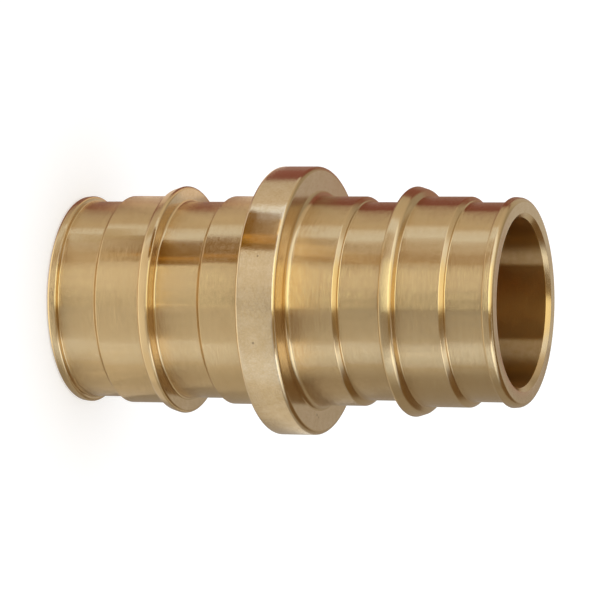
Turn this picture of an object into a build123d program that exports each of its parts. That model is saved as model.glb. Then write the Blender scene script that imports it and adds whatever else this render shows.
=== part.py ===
from build123d import *
import os

# Straight pipe coupling, turned from one piece of brass bar.
# Two equal ribbed spigots stand either side of a round collar, and a plain
# waterway runs from end to end. A plastic pipe is widened, pushed over each
# spigot up to the collar and left to shrink down on the ribs.
# All lengths in millimetres. The axis is Z and the lower end face is at zero.

# Radii, worked outwards from the waterway
bore_dia = 19.4
neck_wall = 1.7         # wall left between the waterway and the narrowest bands
band_height = 0.65      # how far the bands that stretch the pipe stand above the necks
rib_height = 1.8        # the rib above the necks
rib_fall = 0.33         # what the rib loses from its land to its nose
lip_height = 0.65       # the lip round the open end above the necks
lip_fall = 0.12         # what the lip loses from its side to its nose
lip_drop = 0.4          # what it loses from the nose to the end face
collar_height = 3.45    # the collar that stops both pipes above the bands

# Lengths in order, from the collar out to the end face
collar_width = 4.9
stop_band = 5.6         # band beside the collar
band_slope = 0.6        # slope from a band down to the neck after it
inner_neck = 5.2
rib_land = 0.4          # level top of the rib, right behind its square side
rib_crest = 1.05        # the rib's top where it falls away towards the end
rib_front = 0.3         # steep side of the rib, towards the end
outer_band = 5.15
outer_neck = 4.35
lip_crest = 1.07        # the lip's top, falling away like the rib's
lip_front = 0.23

# Edges
rib_nose = 0.7          # rounding between the rib's crest and its steep front
lip_nose = 0.6          # rounding between the lip's crest and its front
mouth_bevel = 0.5       # 45 degree bevel at both mouths of the waterway
collar_bevel = 0.35     # 45 degree bevel along both edges of the collar
collar_root = 0.45      # 45 degree root between the collar's face and the band

bore_r = bore_dia / 2
mouth_r = bore_r + mouth_bevel
neck_r = bore_r + neck_wall
band_r = neck_r + band_height
rib_r = neck_r + rib_height
lip_r = neck_r + lip_height
collar_r = band_r + collar_height

# Distances of each corner from the middle of the collar
collar_face = collar_width / 2
stop_band_end = collar_face + stop_band
inner_neck_start = stop_band_end + band_slope
rib_side = inner_neck_start + inner_neck
land_end = rib_side + rib_land
crest_end = land_end + rib_crest
rib_foot = crest_end + rib_front
outer_band_end = rib_foot + outer_band
outer_neck_start = outer_band_end + band_slope
lip_side = outer_neck_start + outer_neck
lip_crest_end = lip_side + lip_crest
end_face = lip_crest_end + lip_front
bore_end = end_face - mouth_bevel

# Half section of one spigot, from the collar's rim round to the waterway.
# Each row holds the radius, the distance from the middle and the rounding.
half_section = [
    (collar_r, collar_face - collar_bevel, 0),
    (collar_r - collar_bevel, collar_face, 0),
    (band_r + collar_root, collar_face, 0),
    (band_r, collar_face + collar_root, 0),
    (band_r, stop_band_end, 0),
    (neck_r, inner_neck_start, 0),
    (neck_r, rib_side, 0),
    (rib_r, rib_side, 0),
    (rib_r, land_end, 0),
    (rib_r - rib_fall, crest_end, rib_nose),
    (band_r, rib_foot, 0),
    (band_r, outer_band_end, 0),
    (neck_r, outer_neck_start, 0),
    (neck_r, lip_side, 0),
    (lip_r, lip_side, 0),
    (lip_r - lip_fall, lip_crest_end, lip_nose),
    (lip_r - lip_fall - lip_drop, end_face, 0),
    (mouth_r, end_face, 0),
    (bore_r, bore_end, 0),
]

# The lower spigot is the upper one mirrored about the middle of the collar,
# which stands this high above the lower end face
middle = end_face
upper_half = [(radius, middle + reach) for radius, reach, _ in half_section]
lower_half = [(radius, middle - reach) for radius, reach, _ in half_section]
half_round = [rounding for _, _, rounding in half_section]

with BuildPart() as coupling:
    with BuildSketch(Plane.XZ):
        with BuildLine():
            FilletPolyline(
                *upper_half,
                *reversed(lower_half),
                radius=half_round + half_round[::-1],
                close=True,
            )
        make_face()
    revolve(axis=Axis.Z)

os.makedirs("parts", exist_ok=True)
export_step(coupling.part, "parts/coupling_body.step")
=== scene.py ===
# %% [markdown]
# A straight brass pipe coupling
#
# The real part is turned on a lathe from one length of brass bar. Two equal spigots with ribs stand on
# both sides of a round collar, and a plain waterway runs from end to end. A plastic pipe is stretched
# over each spigot, up to the collar, and shrinks down on it.
#
# The imported model comes first. It is the fixed frame: the new mesh has to stay inside its box. Its
# box gives the coupling's length and the collar's width.

# %% Load the imported coupling
import math

import bmesh
import bpy
from mathutils import Matrix, Vector


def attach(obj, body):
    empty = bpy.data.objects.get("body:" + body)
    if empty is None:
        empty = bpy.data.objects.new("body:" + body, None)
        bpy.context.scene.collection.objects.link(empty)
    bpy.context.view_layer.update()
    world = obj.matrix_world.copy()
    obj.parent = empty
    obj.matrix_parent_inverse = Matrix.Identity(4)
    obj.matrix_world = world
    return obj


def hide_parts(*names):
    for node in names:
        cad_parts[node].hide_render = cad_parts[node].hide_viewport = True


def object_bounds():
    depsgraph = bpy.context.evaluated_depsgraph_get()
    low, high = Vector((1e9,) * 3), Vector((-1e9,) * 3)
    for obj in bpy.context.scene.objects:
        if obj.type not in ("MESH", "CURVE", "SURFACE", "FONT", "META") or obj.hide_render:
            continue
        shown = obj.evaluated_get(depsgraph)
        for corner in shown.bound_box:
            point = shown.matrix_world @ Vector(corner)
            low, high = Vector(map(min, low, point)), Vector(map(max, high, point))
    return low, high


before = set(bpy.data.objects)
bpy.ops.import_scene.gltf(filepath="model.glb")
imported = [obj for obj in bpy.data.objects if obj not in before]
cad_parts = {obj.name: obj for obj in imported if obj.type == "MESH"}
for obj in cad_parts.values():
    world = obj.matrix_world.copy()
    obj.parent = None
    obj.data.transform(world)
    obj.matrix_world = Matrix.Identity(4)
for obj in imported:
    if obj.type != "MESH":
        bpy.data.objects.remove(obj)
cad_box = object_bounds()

length = cad_box[1].z - cad_box[0].z
collar_diameter = cad_box[1].x - cad_box[0].x
print(f"coupling: {length * 1000:.1f} mm long, {collar_diameter * 1000:.1f} mm across the collar")

# %% [markdown]
# Sizes
#
# A turner would read the coupling as radii and as distances from the middle of the collar, because both
# spigots are cut to the same drawing. Distances can also be taken from one end, but then every size on
# the second spigot is a sum of all that comes before it. All sizes here are in metres.

# %% Radii of the bands, ribs and collar
bore_radius = 0.0097
neck_wall = 0.0017
band_height = 0.00065
rib_height = 0.0018
rib_fall = 0.00033
lip_height = 0.00065
lip_fall = 0.00012
lip_drop = 0.0004
mouth_bevel = 0.0005

mouth_radius = bore_radius + mouth_bevel
neck_radius = bore_radius + neck_wall
band_radius = neck_radius + band_height
rib_radius = neck_radius + rib_height
rib_crest_radius = rib_radius - rib_fall
lip_radius = neck_radius + lip_height
lip_crest_radius = lip_radius - lip_fall
collar_radius = collar_diameter / 2
print(f"neck {neck_radius * 1000:.2f} mm, band {band_radius * 1000:.2f} mm, rib {rib_radius * 1000:.2f} mm")

# %% Distances from the middle of the collar
collar_width = 0.0049
stop_band = 0.0056
band_slope = 0.00043
slope_foot = 0.00004
inner_neck = 0.00533
rib_land = 0.0004
rib_crest = 0.00105
rib_front = 0.0003
outer_band = 0.00515
outer_neck = 0.00448
lip_crest = 0.00107

middle = length / 2
end_face = length / 2
collar_face = collar_width / 2
stop_band_end = collar_face + stop_band
inner_neck_start = stop_band_end + band_slope + slope_foot
rib_side = inner_neck_start + inner_neck
land_end = rib_side + rib_land
crest_end = land_end + rib_crest
rib_foot = crest_end + rib_front
outer_band_end = rib_foot + outer_band
outer_neck_start = outer_band_end + band_slope + slope_foot
lip_side = outer_neck_start + outer_neck
lip_crest_end = lip_side + lip_crest
print(f"one spigot: {(end_face - collar_face) * 1000:.2f} mm, with its lip from {lip_side * 1000:.2f} mm")

# %% [markdown]
# The half section
#
# A form tool leaves a small radius at every corner, and those radii are what catches the light: on the
# real part a thin bright line runs round each step. So each row of the section holds a corner's radius,
# its distance from the middle and its rounding. A Bevel modifier over the whole solid could round the
# corners too, but only with one width, and the rib's nose is ten times rounder than the mouth's edge.
#
# The slope behind each band lies at 45 degrees and ends just above the neck, on a steep little foot. The
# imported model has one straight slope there. The two differ by a tenth of a millimetre, but with the
# straight one the bright line on the slope comes out wider than in the photo.

# %% Roundings of the corners
collar_edge = 0.0005
collar_root = 0.00067
tool_radius = 0.0002
foot_corner = 0.0001
foot_root = 0.00016
rib_root = 0.0003
rib_back = 0.00034
land_edge = 0.0003
nose = 0.0006
nose_root = 0.0001
lip_root = 0.00015
lip_back = 0.0003
end_edge = 0.0003
sharp_edge = 0.00006
print(f"roundings from {sharp_edge * 1000:.2f} to {collar_root * 1000:.2f} mm")

# %% Corners of one spigot, from the collar's rim round to the waterway
half_section = [
    (collar_radius, 0, 0),
    (collar_radius, collar_face, collar_edge),
    (band_radius, collar_face, collar_root),
    (band_radius, stop_band_end, tool_radius),
    (band_radius - band_slope, stop_band_end + band_slope, foot_corner),
    (neck_radius, inner_neck_start, foot_root),
    (neck_radius, rib_side, rib_root),
    (rib_radius, rib_side, rib_back),
    (rib_radius, land_end, land_edge),
    (rib_crest_radius, crest_end, nose),
    (band_radius, rib_foot, nose_root),
    (band_radius, outer_band_end, tool_radius),
    (band_radius - band_slope, outer_band_end + band_slope, foot_corner),
    (neck_radius, outer_neck_start, foot_root),
    (neck_radius, lip_side, lip_root),
    (lip_radius, lip_side, lip_back),
    (lip_crest_radius, lip_crest_end, nose),
    (lip_crest_radius - lip_drop, end_face, end_edge),
    (mouth_radius, end_face, sharp_edge),
    (bore_radius, end_face - mouth_bevel, sharp_edge),
    (bore_radius, 0, 0),
]
print(f"half section: {len(half_section)} corners")

# %% [markdown]
# Drawing the section
#
# The section starts as a small circle merged to a single point, and the point is extruded from corner
# to corner. Bevelling single points then rounds the corners: the bevel starts a distance
# rounding * tan(turn / 2) before the corner, which is where an arc of that radius touches the line.

# %% A point is extruded along the half section
def near(place, point):
    """Says if two places are the same, to a hundredth of a millimetre."""
    return (Vector(place) - Vector(point)).length < 0.00001


def select_points(mesh_object, chosen):
    """Selects the points of a mesh in edit mode whose place passes the test, and nothing else."""
    bpy.ops.mesh.select_mode(type="VERT")
    bpy.ops.mesh.select_all(action="DESELECT")
    shape = bmesh.from_edit_mesh(mesh_object.data)
    for point in shape.verts:
        point.select = chosen(point.co)
    bmesh.update_edit_mesh(mesh_object.data)


def start_point(name, place):
    """A new object with a single point at a place, selected and in edit mode."""
    bpy.ops.object.select_all(action="DESELECT")
    bpy.ops.mesh.primitive_circle_add(vertices=3, radius=0.0001, location=(0, 0, 0))
    started = bpy.context.object
    started.name = name
    bpy.ops.object.mode_set(mode="EDIT")
    bpy.ops.mesh.select_all(action="SELECT")
    bpy.ops.mesh.merge(type="CENTER")
    bpy.ops.mesh.select_all(action="SELECT")
    bpy.ops.transform.translate(value=place)
    return started


places = [Vector((radius, 0, reach)) for radius, reach, _ in half_section]
coupling = start_point("coupling", places[0])
for here, following in zip(places, places[1:]):
    bpy.ops.mesh.extrude_region_move(TRANSFORM_OT_translate={"value": following - here})
print(f"section drawn: {len(bmesh.from_edit_mesh(coupling.data).verts)} points")

# %% Its corners are rounded
round_steps = 6
for before, corner, after, row in zip(places, places[1:], places[2:], half_section[1:]):
    rounding = row[2]
    bend = (corner - before).angle(after - corner)
    select_points(coupling, lambda place: near(place, corner))
    bpy.ops.mesh.bevel(
        offset=rounding * math.tan(bend / 2),
        offset_type="OFFSET",
        segments=round_steps,
        profile=0.5,
        affect="VERTICES",
        clamp_overlap=False,
    )
print(f"corners rounded: {len(bmesh.from_edit_mesh(coupling.data).verts)} points")

# %% [markdown]
# Turning it
#
# Spin sweeps the section round the axis, as the lathe does. A Screw modifier could do the same, but the
# spin leaves real faces to work on at once. The other spigot is the first one mirrored about the middle
# of the collar, so it is made by a Mirror modifier, which merges the points on the mirror plane. Spin and
# mirror can both turn a surface inside out, so the normals are worked out anew at the end.

# %% The section is spun round the axis and mirrored
steps_round = 256
merge_gap = 0.000001
bpy.ops.mesh.select_all(action="SELECT")
bpy.ops.mesh.spin(steps=steps_round, angle=math.tau, center=(0, 0, 0), axis=(0, 0, 1))
bpy.ops.mesh.select_all(action="SELECT")
bpy.ops.mesh.remove_doubles(threshold=merge_gap)
bpy.ops.object.mode_set(mode="OBJECT")

mirror = coupling.modifiers.new("Other spigot", "MIRROR")
mirror.use_axis = (False, False, True)
mirror.merge_threshold = merge_gap
bpy.ops.object.modifier_apply(modifier=mirror.name)

bpy.ops.object.mode_set(mode="EDIT")
bpy.ops.mesh.select_all(action="SELECT")
bpy.ops.transform.translate(value=(0, 0, middle))
bpy.ops.mesh.normals_make_consistent(inside=False)
bpy.ops.object.mode_set(mode="OBJECT")
print(f"coupling turned: {len(coupling.data.polygons)} faces")

# %% [markdown]
# Shader maths
#
# A shader's numbers travel along wires between nodes. The first class below wraps one such wire, so that
# a finish can be written as an ordinary expression, and the expression adds its Math nodes by itself. The
# second class is the tree that the nodes stand in, with one method that adds any of them. Building the
# same trees by hand in the shader editor gives the same finish, but takes a hundred wires.

# %% A number on a wire
class Signal:
    """One number in a node tree, with the arithmetic that the finishes use."""

    def __init__(self, tree, socket):
        self.tree = tree
        self.socket = socket

    def __add__(self, other):
        return self.tree.math("ADD", self, other)

    def __radd__(self, other):
        return self.tree.math("ADD", other, self)

    def __sub__(self, other):
        return self.tree.math("SUBTRACT", self, other)

    def __rsub__(self, other):
        return self.tree.math("SUBTRACT", other, self)

    def __mul__(self, other):
        return self.tree.math("MULTIPLY", self, other)

    def __rmul__(self, other):
        return self.tree.math("MULTIPLY", other, self)

    def __truediv__(self, other):
        return self.tree.math("DIVIDE", self, other)

    def ramp_up(self, low, high):
        """Goes smoothly from 0 at low to 1 at high."""
        return self.tree.add(
            "ShaderNodeMapRange",
            {"interpolation_type": "SMOOTHSTEP"},
            {"Value": self, "From Min": low, "From Max": high},
        )


print("a signal can be added, subtracted, multiplied, divided and ramped")

# %% The tree that it runs in
class Tree:
    """A node tree that starts empty and is filled one node at a time."""

    def __init__(self, owner):
        owner.use_nodes = True
        self.nodes = owner.node_tree.nodes
        self.links = owner.node_tree.links
        self.nodes.clear()

    def add(self, kind, settings=None, inputs=None, output=0):
        """Adds a node, sets it up, feeds its sockets and gives back one of its outputs."""
        node = self.nodes.new(kind)
        for name, value in (settings or {}).items():
            if name == "stops":
                self.set_stops(node.color_ramp, value)
            else:
                setattr(node, name, value)
        for name, value in (inputs or {}).items():
            if isinstance(value, Signal):
                self.links.new(value.socket, node.inputs[name])
            else:
                node.inputs[name].default_value = value
        return Signal(self, node.outputs[output]) if node.outputs else node

    def math(self, operation, *values):
        """A Math node."""
        return self.add("ShaderNodeMath", {"operation": operation}, dict(enumerate(values)))

    def blend(self, factor, first, second):
        """A Mix node for colours, which goes from the first to the second as the factor rises."""
        inputs = {"Factor": factor, 6: first, 7: second}
        return self.add("ShaderNodeMix", {"data_type": "RGBA"}, inputs, output=2)

    def apart(self, vector):
        """The three numbers of a vector."""
        return [self.add("ShaderNodeSeparateXYZ", inputs={0: vector}, output=part) for part in range(3)]

    @staticmethod
    def set_stops(ramp, stops):
        """Gives a colour ramp its stops, each a position and a colour."""
        while len(ramp.elements) < len(stops):
            ramp.elements.new(1)
        for element, (position, colour) in zip(ramp.elements, stops):
            element.position = position
            element.color = solid(colour)


def solid(colour):
    """A colour of three numbers with full alpha, as colour sockets want it."""
    return (*colour, 1)


print("shader helpers ready")

# %% [markdown]
# Brass
#
# One alloy shows five finishes here, because each surface was left by another tool. All of them are built
# by one function, which takes the two tones of the brass, where each shows, how rough it is, its marks,
# and how far a reflection is smeared. The marks are too shallow for geometry, a few thousandths of a
# millimetre, so they are bump. Anisotropic smears a reflection across the marks, and its rotation lays
# the smear along the axis, because the marks run round the part.

# %% Tones, and places in millimetres
brass = (0.69, 0.515, 0.28)
deep_brass = (0.65, 0.465, 0.23)
# The colour of the painted shade that darkens the pits
pit_shade_tone = (0.10, 0.06, 0.03)
mm = 0.001


def place_on_part(tree):
    """The place on the part in millimetres, as three numbers."""
    return [number / mm for number in tree.apart(tree.add("ShaderNodeTexCoord", output="Object"))]


def noise(tree, x, y, z, detail=2):
    """Noise from 0 to 1, one unit of place to a blotch, the same on every run."""
    where = tree.add("ShaderNodeCombineXYZ", inputs={0: x, 1: y, 2: z})
    return tree.add("ShaderNodeTexNoise", inputs={"Vector": where, "Scale": 1, "Detail": detail})


print("brass tones", brass, deep_brass)

# %% What every brass finish shares: turning marks that tip the normal, and pits
marks_per_mm = 240
# How much of a pit's radius is darkest
pit_core = 0.4


def ring_tilt(tree, x, y, z, tilt):
    """The normal, tipped up and down from one turning mark to the next, which run round the part."""
    mark = noise(tree, x * 0.8, y * 0.8, z * marks_per_mm)
    lean = tree.add("ShaderNodeCombineXYZ", inputs={0: 0, 1: 0, 2: (mark - 0.5) * tilt})
    straight = tree.add("ShaderNodeNewGeometry", output="Normal")
    tipped = tree.add("ShaderNodeVectorMath", {"operation": "ADD"}, {0: straight, 1: lean})
    return tree.add("ShaderNodeVectorMath", {"operation": "NORMALIZE"}, {0: tipped})


def pit_mask(tree, x, y, z, pits):
    """Goes to 1 inside each small pit, and is 0 outside all of them."""
    mask = 0 * x
    for pit_x, pit_y, pit_z, size in pits:
        east, north, up = x - pit_x, y - pit_y, z - pit_z
        gap = tree.math("SQRT", east * east + north * north + up * up)
        mask = mask + (1 - gap.ramp_up(size * pit_core, size))
    return mask


print(f"turning marks: {marks_per_mm} noise steps to a millimetre")

# %% One brass material
# How far the pits' colour is darkened with painted shade
pit_shade_mix = 0.45
pit_depth = 2


def brass_finish(name, tone, worn_tone, patches, roughness, marks, mark_depth, smear, tilt, pits=()):
    """One brass material: two tones in soft patches, a roughness, marks as bump, a smear, and pits, dented
    by bump and darkened with painted shade.
    """
    finish = bpy.data.materials.new(name)
    tree = Tree(finish)
    x, y, z = place_on_part(tree)
    pitted = pit_mask(tree, x, y, z, pits)
    clean = tree.blend(patches(tree, x, y, z), solid(worn_tone), solid(tone))
    bump_inputs = {
        "Strength": 1,
        "Distance": mark_depth,
        "Height": marks(tree, x, y, z) - pit_depth * pitted,
        "Normal": ring_tilt(tree, x, y, z, tilt),
    }
    surface_inputs = {
        # The pits' colour is darkened with painted shade
        "Base Color": tree.blend(pit_shade_mix * pitted, clean, solid(pit_shade_tone)),
        "Metallic": 1,
        "Roughness": roughness(tree, x, y, z),
        "Anisotropic": smear,
        "Anisotropic Rotation": 0.25,
        "Normal": tree.add("ShaderNodeBump", inputs=bump_inputs),
    }
    surface = tree.add("ShaderNodeBsdfPrincipled", inputs=surface_inputs)
    tree.add("ShaderNodeOutputMaterial", inputs={"Surface": surface})
    return finish


print("pits are mixed in by", pit_shade_mix)

# %% [markdown]
# The turned bands
#
# The bands and necks were turned with a fine feed, so marks run round the part a few hundredths of a
# millimetre apart. A lamp's reflection stays sharp round the part and smears far along the axis. Roughness
# alone would blur it both ways, so the smear comes from Anisotropic and from the tipped normals. The tone
# changes in thin rings, which is noise stretched round the part: it runs fast along Z and hardly at all
# along X and Y.

# %% Bands with fine turning marks
def turned_patches(tree, x, y, z):
    """Thin rings and soft blotches of deeper brass."""
    rings = noise(tree, x * 0.05, y * 0.05, z * 3)
    blotches = noise(tree, x * 0.35, y * 0.35, z * 0.5)
    return 0.5 * rings + 0.5 * blotches


def turned_roughness(tree, x, y, z):
    """Some rings are a little duller than others."""
    return 0.16 + 0.06 * noise(tree, x * 0.06, y * 0.06, z * 4)


def turned_marks(tree, x, y, z):
    """The marks of the feed, and the slow waves under them."""
    fine = noise(tree, x * 0.08, y * 0.08, z * 14)
    broad = noise(tree, x * 0.03, y * 0.03, z * 2.4)
    return 0.6 * fine + 0.4 * broad


turned = brass_finish(
    "turned_brass",
    brass,
    deep_brass,
    turned_patches,
    turned_roughness,
    turned_marks,
    mark_depth=0.0000015,
    smear=1.0,
    tilt=2.6,
)
print("finish:", turned.name)

# %% [markdown]
# The slopes and roundings
#
# A form tool cut these in one plunge, with no feed along the axis. They smear a reflection far less than
# the bands do and mirror whole panels, so the brightest lines on the part lie on them. They could have
# the bands' finish and a lower roughness, but the streaks would still run across them. The same brass
# with a small tilt keeps them apart from the bands.

# %% Slopes and roundings left bright by the form tool
def formed_roughness(tree, x, y, z):
    """Nearly even."""
    return 0.2 + 0.05 * noise(tree, x * 0.3, y * 0.3, z * 2)


formed = brass_finish(
    "formed_brass",
    brass,
    deep_brass,
    turned_patches,
    formed_roughness,
    turned_marks,
    mark_depth=0.000002,
    smear=0.6,
    tilt=0.3,
)
print("finish:", formed.name)

# %% [markdown]
# The rim and the faces
#
# The collar's rim was left as the bar came from the mill: paler, with a fine grain the same in all
# directions and a few small pits. The ends and the collar's faces were faced off and look alike, only
# duller. Pits could be modelled in the mesh, but at a fifth of a millimetre they would need far finer
# faces there than anywhere else, so they are small marks in the finish: a dent in the bump, with painted
# shade darkening its colour.

# %% The rim: skin of the drawn bar
pale_brass = (0.80, 0.64, 0.42)


def rim_patches(tree, x, y, z):
    """Clouds a millimetre wide with a fine grain in them."""
    clouds = noise(tree, x * 0.9, y * 0.9, z * 0.9, 4)
    grain = noise(tree, x * 4, y * 4, z * 4)
    return (0.5 * clouds + 0.5 * grain).ramp_up(0.2, 0.8)


def rim_roughness(tree, x, y, z):
    """Blotches half a millimetre wide."""
    return 0.12 + 0.06 * noise(tree, x * 2, y * 2, z * 2)


def rim_marks(tree, x, y, z):
    """Grain that is the same in all directions."""
    return noise(tree, x * 5, y * 5, z * 5, 3)


# Each pit: its place and its radius, in millimetres
rim_pits = [(4.84, -14.73, 26.66, 0.2), (-5.0, -14.67, 27.1, 0.14)]
drawn = brass_finish(
    "drawn_brass",
    pale_brass,
    brass,
    rim_patches,
    rim_roughness,
    rim_marks,
    mark_depth=0.000005,
    smear=1.0,
    tilt=0.5,
    pits=rim_pits,
)
print(f"finish: {drawn.name}, with {len(rim_pits)} pits")

# %% Faced ends and collar faces
def faced_roughness(tree, x, y, z):
    """Blotches under a millimetre wide."""
    return 0.15 + 0.05 * noise(tree, x * 1.5, y * 1.5, z * 1.5)


face_pits = [(13.16, -1.13, 29.45, 0.2), (13.45, -0.6, 29.45, 0.14)]
faced = brass_finish(
    "faced_brass",
    pale_brass,
    brass,
    rim_patches,
    faced_roughness,
    rim_marks,
    mark_depth=0.000006,
    smear=0.5,
    tilt=0.0,
    pits=face_pits,
)
print(f"finish: {faced.name}, with {len(face_pits)} pits")

# %% [markdown]
# The waterway
#
# The hole was drilled and reamed. Its brass is painted darker and browner than the rest, as painted
# shade for the light that bounces several times inside before it comes out. Two paler strips run along
# it: a painted highlight in the colour, with duller roughness where the reamer left the wall dull. They
# are made from the place on the part, as two soft-edged windows along X on the far wall, with blotches
# in them.

# %% The drilled and reamed waterway
# The waterway's colour is painted shade: darker and browner than the brass outside
bore_shade_brass = (0.60, 0.36, 0.11)
# The strips' paler colour is a painted highlight
strip_highlight_brass = (0.76, 0.54, 0.26)


def dull_highlight_strips(x, y):
    """Two strips along the far wall of the waterway, duller and paler with painted highlight."""
    upper = x.ramp_up(-7.0, -5.2) * (1 - x.ramp_up(-4.7, -4.1))
    lower = x.ramp_up(3.9, 4.6) * (1 - x.ramp_up(5.8, 7.6))
    return (upper + lower) * y.ramp_up(0, 2)


def bore_patches(tree, x, y, z):
    """The strips of painted highlight, broken up by blotches."""
    blotches = noise(tree, x * 1.3, y * 1.3, z * 1.3, 5).ramp_up(0.2, 0.75)
    return 1 - dull_highlight_strips(x, y) * (0.55 + 0.45 * blotches)


def bored_roughness(tree, x, y, z):
    """Duller in the strips."""
    return 0.26 + 0.08 * noise(tree, x * 0.4, y * 0.4, z * 0.6) + 0.18 * dull_highlight_strips(x, y)


bored = brass_finish(
    "bored_brass",
    bore_shade_brass,
    strip_highlight_brass,
    bore_patches,
    bored_roughness,
    turned_marks,
    mark_depth=0.000008,
    smear=0.7,
    tilt=0.5,
)
print("finish:", bored.name)

# %% [markdown]
# Which cut left which face
#
# Each face is known by its place and by the way it points: the rim is the furthest out, the waterway the
# furthest in, the ends and the collar's sides point along the axis, and the bands straight outwards.
# All that is left is a slope or a rounding. The faces could be picked by hand in edit mode, but there
# are tens of thousands, and a rule still holds when a size changes.

# %% Each face gets its finish
# How far a face leans along the axis: 1 is an end face, 0 is a band
faced_lean = 0.999
turned_lean = 0.2
finishes = [turned, formed, drawn, faced, bored]
for finish in finishes:
    coupling.data.materials.append(finish)


def finish_of(face):
    """The finish of one face, from its distance to the axis and its lean."""
    out = math.hypot(face.center.x, face.center.y)
    lean = abs(face.normal.z)
    if out < bore_radius + sharp_edge / 4:
        return bored
    if lean > faced_lean:
        return faced
    if out > collar_radius - sharp_edge:
        return drawn
    if lean < turned_lean:
        return turned
    return formed


for face in coupling.data.polygons:
    face.material_index = finishes.index(finish_of(face))
for finish in finishes:
    count = sum(1 for face in coupling.data.polygons if finishes[face.material_index] == finish)
    print(f"{finish.name}: {count} faces")

# %% [markdown]
# Smooth shading
#
# The turned surface is smooth all over. Averaging the normals of a wide band and its narrow rounding
# would bend the light on the band, so a Weighted Normal modifier lets the large faces decide. Smoothing
# by angle would leave creases where two faces of a rounding meet.

# %% Smooth, with the wide bands kept true
bpy.ops.object.shade_smooth()
weighted = coupling.modifiers.new("Bands stay true", "WEIGHTED_NORMAL")
weighted.mode = "FACE_AREA"
weighted.weight = 100
bpy.ops.object.modifier_apply(modifier=weighted.name)

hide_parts("coupling_body")
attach(coupling, "root")
print(f"coupling: {sum(len(face.vertices) - 2 for face in coupling.data.polygons)} triangles")

# %% [markdown]
# Floor
#
# The coupling stands on its end on a plain white sheet, and leaves a soft shadow there. The sheet glows a
# little, so that it comes out white without more light on the brass. From below it is clear, because the
# part may be looked at from there, and the brass doesn't mirror it: the panels further on take its place.

# %% A white floor
paper_white = (0.8, 0.8, 0.8)
paper_glow = 0.35

bpy.ops.object.select_all(action="DESELECT")
bpy.ops.mesh.primitive_plane_add(size=6, location=(0, 0, 0))
floor = bpy.context.object
floor.name = "floor"
floor.visible_glossy = False

floor_paper = bpy.data.materials.new("white_paper")
tree = Tree(floor_paper)
matte = tree.add("ShaderNodeBsdfDiffuse", inputs={"Color": solid(paper_white)})
glow = tree.add("ShaderNodeEmission", inputs={"Color": (1, 1, 1, 1), "Strength": paper_glow})
lit = tree.add("ShaderNodeAddShader", inputs={0: matte, 1: glow})
clear = tree.add("ShaderNodeBsdfTransparent")
under = tree.add("ShaderNodeNewGeometry", output="Backfacing")
one_sided = tree.add("ShaderNodeMixShader", inputs={0: under, 1: lit, 2: clear})
tree.add("ShaderNodeOutputMaterial", inputs={"Surface": one_sided})
floor.data.materials.append(floor_paper)
print(f"floor: {floor.dimensions.x:.0f} m square")

# %% [markdown]
# The studio
#
# Bare metal has little to show of its own: it mirrors what stands round it. The straight streaks along
# the bands in the photo are the edges of long panels of different brightness, which must have stood round
# the part. Area lamps could play the panels, but each would also light the floor and would have to be
# aimed by itself. Here the panels are painted on the world, as colour ramps round the part that only
# mirrored rays see. Everything else is lit by a plain white world.
#
# There are three rings of panels, one above the other, because each cut mirrors another height. The camera
# looks down by 20 degrees, so a band mirrors what lies 20 degrees below the horizon. A cut that leans
# towards the upper end mirrors what lies twice its lean higher: 15 degrees above the horizon for the
# rib's crest, 70 degrees for the slopes, and all heights between and beyond for the roundings. A slope
# that leans the other way mirrors the neck, and in the neck what lies nearly straight below.

# %% Tints of the panels
white = (1, 1.08, 1.25)
warm = (1, 0.93, 0.84)
tan = (1, 0.9, 0.78)
sand = (1, 0.85, 0.7)
ochre = (1, 0.73, 0.45)
gold = (1, 0.92, 0.66)
pale_gold = (1, 1.06, 0.94)
pale = (1, 0.94, 0.91)
grey = (1, 1.0, 1.02)
brown = (1, 0.6, 0.25)
umber = (1, 0.72, 0.4)
red = (1, 0.38, 0.3)
pink = (1, 0.58, 0.48)
print("tints run from", white, "to", red)

# %% The low ring, which the bands and the ribs' crests mirror
# Each panel: where it starts and ends, in degrees round the part from the camera's side, its
# brightness at both edges, and its tint
low_panels = [
    (-180, -108, 0.38, 0.37, tan),
    (-108, -92, 0.34, 0.34, tan),
    (-92, -75, 0.36, 0.54, warm),
    (-75, -62, 0.64, 0.71, white),
    (-62, -49, 0.76, 0.72, white),
    (-49, -9, 0.60, 0.42, grey),
    (-9, 12, 0.28, 0.50, pale),
    (12, 30, 0.61, 0.70, pale),
    (30, 42, 0.70, 0.58, pale),
    (42, 55, 0.46, 0.46, ochre),
    (55, 72, 0.58, 0.58, sand),
    (72, 83, 0.90, 0.84, white),
    (83, 88.5, 0.98, 0.98, white),
    (88.5, 125.5, 0.71, 0.59, tan),
    (125.5, 150, 0.25, 0.29, red),
    (150, 180, 0.32, 0.40, pink),
]
print(f"low ring: {len(low_panels)} panels")

# %% The middle ring, which the roundings mirror
middle_panels = [
    (-180, -165, 0.45, 0.45, tan),
    (-165, -103, 0.16, 0.20, brown),
    (-103, -88, 0.25, 0.90, white),
    (-88, -70, 1.10, 1.70, white),
    (-70, -49, 1.95, 2.00, white),
    (-49, -9, 0.36, 0.36, umber),
    (-9, 43, 2.05, 1.90, pale_gold),
    (43, 88, 1.30, 1.30, white),
    (88, 128, 0.75, 0.55, tan),
    (128, 165, 0.40, 0.40, tan),
    (165, 180, 0.50, 0.50, warm),
]
print(f"middle ring: {len(middle_panels)} panels")

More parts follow.
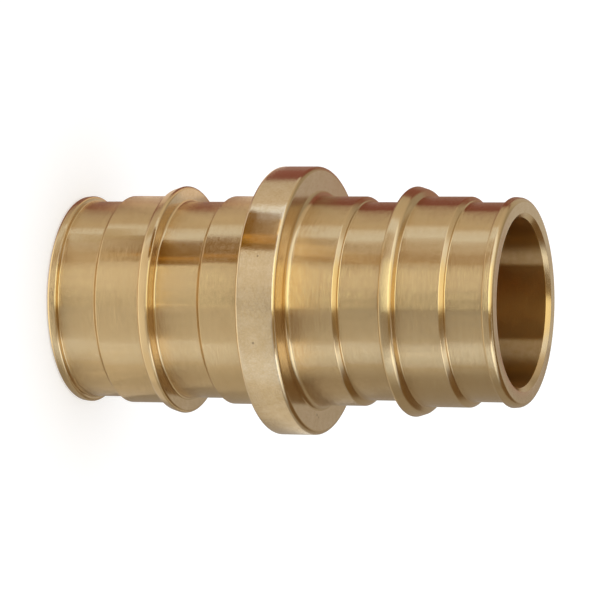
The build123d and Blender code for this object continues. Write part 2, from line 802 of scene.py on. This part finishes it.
# %% The top ring, which the slopes mirror
top_panels = [
    (-180, -106, 0.20, 0.18, brown),
    (-106, -78, 1.20, 1.35, white),
    (-78, -15, 0.20, 0.30, umber),
    (-15, 70, 1.45, 1.25, gold),
    (70, 102, 1.05, 1.05, white),
    (102, 128, 0.70, 0.60, tan),
    (128, 180, 0.45, 0.40, tan),
]
print(f"top ring: {len(top_panels)} panels")

# %% A ring of panels as a colour ramp
soft_edge = 0.6


def panel_ramp(tree, round_part, panels):
    """A colour ramp round the part, with a soft edge between one panel and the next."""
    stops = []
    for start, end, first, last, tint in panels:
        stops.append(((start + soft_edge + 180) / 360, [first * part for part in tint]))
        stops.append(((end - soft_edge + 180) / 360, [last * part for part in tint]))
    return tree.add("ShaderNodeValToRGB", {"stops": stops}, {"Fac": round_part})


print(f"panel edges: {2 * soft_edge:.1f} degrees wide")

# %% The world: the three rings, light from straight below, and plain white for all but the metal
world = bpy.data.worlds.new("studio")
bpy.context.scene.world = world
tree = Tree(world)
x, y, up = tree.apart(tree.add("ShaderNodeTexCoord", output="Generated"))
round_part = tree.math("ARCTAN2", 0 - x, 0 - y) / math.tau + 0.5
low_ring = panel_ramp(tree, round_part, low_panels)
middle_ring = panel_ramp(tree, round_part, middle_panels)
top_ring = panel_ramp(tree, round_part, top_panels)

# Where one height gives way to the next, as sines of the angle over or under the horizon
low_to_middle = (0.3, 0.34)
middle_to_top = (0.65, 0.85)
low_to_below = (0.72, 0.94)
straight_below = (1.4, 1.38, 1.35)
with_below = tree.blend((0 - up).ramp_up(*low_to_below), low_ring, solid(straight_below))
with_middle = tree.blend(up.ramp_up(*low_to_middle), with_below, middle_ring)
all_heights = tree.blend(up.ramp_up(*middle_to_top), with_middle, top_ring)

seen_in_metal = tree.add("ShaderNodeLightPath", output="Is Glossy Ray")
panels = tree.add("ShaderNodeBackground", inputs={"Color": all_heights, "Strength": 1})
plain = tree.add("ShaderNodeBackground", inputs={"Color": (1, 1, 1, 1), "Strength": 1})
either = tree.add("ShaderNodeMixShader", inputs={0: seen_in_metal, 1: plain, 2: panels})
tree.add("ShaderNodeOutputWorld", inputs={"Surface": either})
print(f"studio ready: {len(tree.nodes)} nodes")

# %% [markdown]
# Cards that only the metal sees
#
# In the photo some streaks belong to some heights only: a brown one with an orange line lies on the
# collar's rim and on the bands to its left, and fades on the others. That is how the reflection of a small
# thing close to the part looks. Painting it on the brass would be simpler, but it would then stay in place
# when the part is seen from another side. So each is a card here, a strip of sheet bent round the axis,
# which glows evenly and is seen by mirrored rays alone.
#
# A card is made like the coupling: a point, extruded once to a straight edge, and spun part of the way
# round. Where it has to stand follows from the mirror rule: the ray leaves the brass downwards by 20
# degrees, so a card stands lower than the band it shows on, by a third of its distance to it. The turning
# marks spread its reflection, so a streak fades out along the axis and keeps its sharp long edges.

# %% How a sheet is bent round the axis
sheet_steps = 48


def point_at(way, reach, height):
    """A place from its direction in degrees, its distance from the axis and its height."""
    return Vector((-reach * math.sin(math.radians(way)), -reach * math.cos(math.radians(way)), height))


def spun_sheet(name, first_way, last_way, start, finish):
    """A sheet swept round the axis from a straight edge, given as two pairs of reach and height."""
    here, there = point_at(first_way, *start), point_at(first_way, *finish)
    sheet = start_point(name, here)
    bpy.ops.mesh.extrude_region_move(TRANSFORM_OT_translate={"value": there - here})
    bpy.ops.mesh.select_all(action="SELECT")
    sweep = math.radians(last_way - first_way)
    bpy.ops.mesh.spin(steps=sheet_steps, angle=sweep, center=(0, 0, 0), axis=(0, 0, 1))
    bpy.ops.object.mode_set(mode="OBJECT")
    for kind in ("camera", "diffuse", "transmission", "volume_scatter", "shadow"):
        setattr(sheet, "visible_" + kind, False)
    print(f"{name}: {len(sheet.data.polygons)} faces")
    return sheet


def glowing_sheet(name, colour, cover):
    """A flat glow that covers what lies behind it in part, by a number or by a function of its tree."""
    look = bpy.data.materials.new(name)
    tree = Tree(look)
    cover = cover(tree) if callable(cover) else cover
    glow = tree.add("ShaderNodeEmission", inputs={"Color": solid(colour), "Strength": 1})
    clear = tree.add("ShaderNodeBsdfTransparent")
    sheet = tree.add("ShaderNodeMixShader", inputs={0: cover, 1: clear, 2: glow})
    tree.add("ShaderNodeOutputMaterial", inputs={"Surface": sheet})
    return look


print(f"a sheet is bent in {sheet_steps} steps")

# %% Where the cards stand
near_reach = 0.020
far_reach = 0.033
lowest_reach = 0.016
reaches = [round(reach / mm) for reach in (lowest_reach, near_reach, far_reach)]
print("cards stand", reaches, "mm from the axis")

# %% A brown card with an orange line, near for the lower spigot and further out for the rim
brown_look = glowing_sheet("brown_card", (0.24, 0.12, 0.016), 0.98)
orange_look = glowing_sheet("orange_card", (0.55, 0.29, 0.05), 0.98)

# Each strip: its name, where it starts and ends in degrees, its distance from the axis, its lower and
# upper edge, and its colour
card_strips = [
    ("near_card_below", 29.0, 33.5, near_reach, 0.009, 0.0235, brown_look),
    ("near_card_line", 33.5, 36.0, near_reach, 0.009, 0.0235, orange_look),
    ("near_card_above", 36.0, 52.5, near_reach, 0.009, 0.0235, brown_look),
    ("far_card_below", 33.2, 38.0, far_reach, 0.0175, 0.0225, brown_look),
    ("far_card_line", 38.0, 45.0, far_reach, 0.0175, 0.0225, orange_look),
    ("far_card_above", 45.0, 62.5, far_reach, 0.0175, 0.0225, brown_look),
]
for name, first_way, last_way, reach, low_edge, high_edge, look in card_strips:
    strip = spun_sheet(name, first_way, last_way, (reach, low_edge), (reach, high_edge))
    strip.data.materials.append(look)

# %% A low pale card, seen by the collar's rim
pale_card = spun_sheet("pale_card", -140, 33.2, (far_reach, 0.0182), (far_reach, 0.0225))
pale_card.data.materials.append(glowing_sheet("pale_card", (0.90, 0.86, 0.78), 0.9))

# %% Two low pink cards on the far side, seen by the bands of the lower spigot
pink_look = glowing_sheet("pink_card", (0.86, 0.72, 0.60), 0.9)
pink_cards = [("pink_card_low", 0.0015, 0.0075), ("pink_card_high", 0.0150, 0.0213)]
for name, low_edge, high_edge in pink_cards:
    pink_card = spun_sheet(name, 92, 140, (near_reach, low_edge), (near_reach, high_edge))
    pink_card.data.materials.append(pink_look)

# %% A pale card beside the first band of the upper spigot, and one behind the upper mouth
side_card = spun_sheet("side_card", 35, 45, (near_reach, 0.0278), (near_reach, 0.0313))
side_card.data.materials.append(glowing_sheet("side_card", (1.1, 0.92, 0.64), 0.9))
mouth_card = spun_sheet("mouth_card", 100, 195, (near_reach, 0.0532), (near_reach, 0.0615))
mouth_card.data.materials.append(glowing_sheet("mouth_card", (0.54, 0.50, 0.44), 0.95))

# %% A small olive card, seen by the lowest band and neck
olive_card = spun_sheet("olive_card", 45, 53.5, (lowest_reach, 0.0005), (lowest_reach, 0.0095))
olive_card.data.materials.append(glowing_sheet("olive_card", (0.55, 0.44, 0.27), 0.7))

# %% Faint cards, each seen by one or two bands
dim = (0.12, 0.11, 0.10)
bright = (1.1, 1.04, 1.0)
bright_tan = (1.05, 0.98, 0.86)

# Each card: its name, where it starts and ends, its lower and upper edge, its colour and its cover
faint_cards = [
    ("dim_card_low", -3.5, 26, 0.0158, 0.0217, dim, 0.27),
    ("dim_card_high", -39.7, -6, 0.0397, 0.0496, dim, 0.15),
    ("bright_card_low", -10.7, 28.9, 0.0098, 0.0155, bright, 0.28),
    ("bright_card_high", -10.6, 26, 0.0279, 0.0321, bright, 0.28),
    ("bright_card_behind", 70, 92, 0.0150, 0.0213, bright_tan, 0.3),
]
for name, first_way, last_way, low_edge, high_edge, colour, cover in faint_cards:
    faint_card = spun_sheet(name, first_way, last_way, (near_reach, low_edge), (near_reach, high_edge))
    faint_card.data.materials.append(glowing_sheet(name, colour, cover))

# %% A sheet of paper lying in front, which covers more near the part
paper_tint = (0.96, 0.90, 0.80)


def paper_cover(tree):
    """A good half covered at the part, and nothing from 120 mm outwards."""
    x, y, _ = place_on_part(tree)
    return 0.55 * (1 - tree.math("SQRT", x * x + y * y).ramp_up(10, 120))


paper_sheet = spun_sheet("paper_sheet", -114, 42, (lowest_reach, 0.0002), (0.12, 0.0002))
paper_sheet.data.materials.append(glowing_sheet("white_sheet", paper_tint, paper_cover))

# %% A second sheet over its left part, seen by the lowest neck
left_sheet = spun_sheet("left_sheet", -80, -46, (lowest_reach, 0.0004), (0.025, 0.0004))
left_sheet.data.materials.append(glowing_sheet("left_sheet", paper_tint, 0.75))

# %% [markdown]
# Camera
#
# The photo looks down on the part by about 20 degrees with a long lens from a good half metre away, and
# the picture is turned on its side, so that the coupling seems to lie. The camera's three directions are
# worked out first: forward along the view, right and down in the picture. They go into its matrix as
# columns. A Track To constraint could aim it as well, but not roll it on its side.

# %% The camera of the photo
elevation = math.radians(20.336)
lean = math.radians(0.534)
distance = 0.5776
aim_right = 0.000176
aim_down = 0.000064

forward = Vector((0, math.cos(elevation), -math.sin(elevation)))
steep = Vector((0, math.sin(elevation), math.cos(elevation)))
side = Vector((-1, 0, 0))
right = math.cos(lean) * steep + math.sin(lean) * side
down = math.sin(lean) * steep - math.cos(lean) * side
collar_centre = Vector((0, 0, middle))

bpy.ops.object.select_all(action="DESELECT")
bpy.ops.object.camera_add()
camera = bpy.context.object
camera.name = "camera"
camera.data.lens = 300
camera.data.sensor_width = 36
stand = collar_centre - distance * forward - aim_right * right - aim_down * down
turned_to = Matrix((right, -down, -forward)).transposed()
camera.matrix_world = Matrix.Translation(stand) @ turned_to.to_4x4()
bpy.context.scene.camera = camera
bpy.context.scene.view_settings.view_transform = "Standard"
print(f"camera stands at {stand.x:.3f}, {stand.y:.3f}, {stand.z:.3f}")
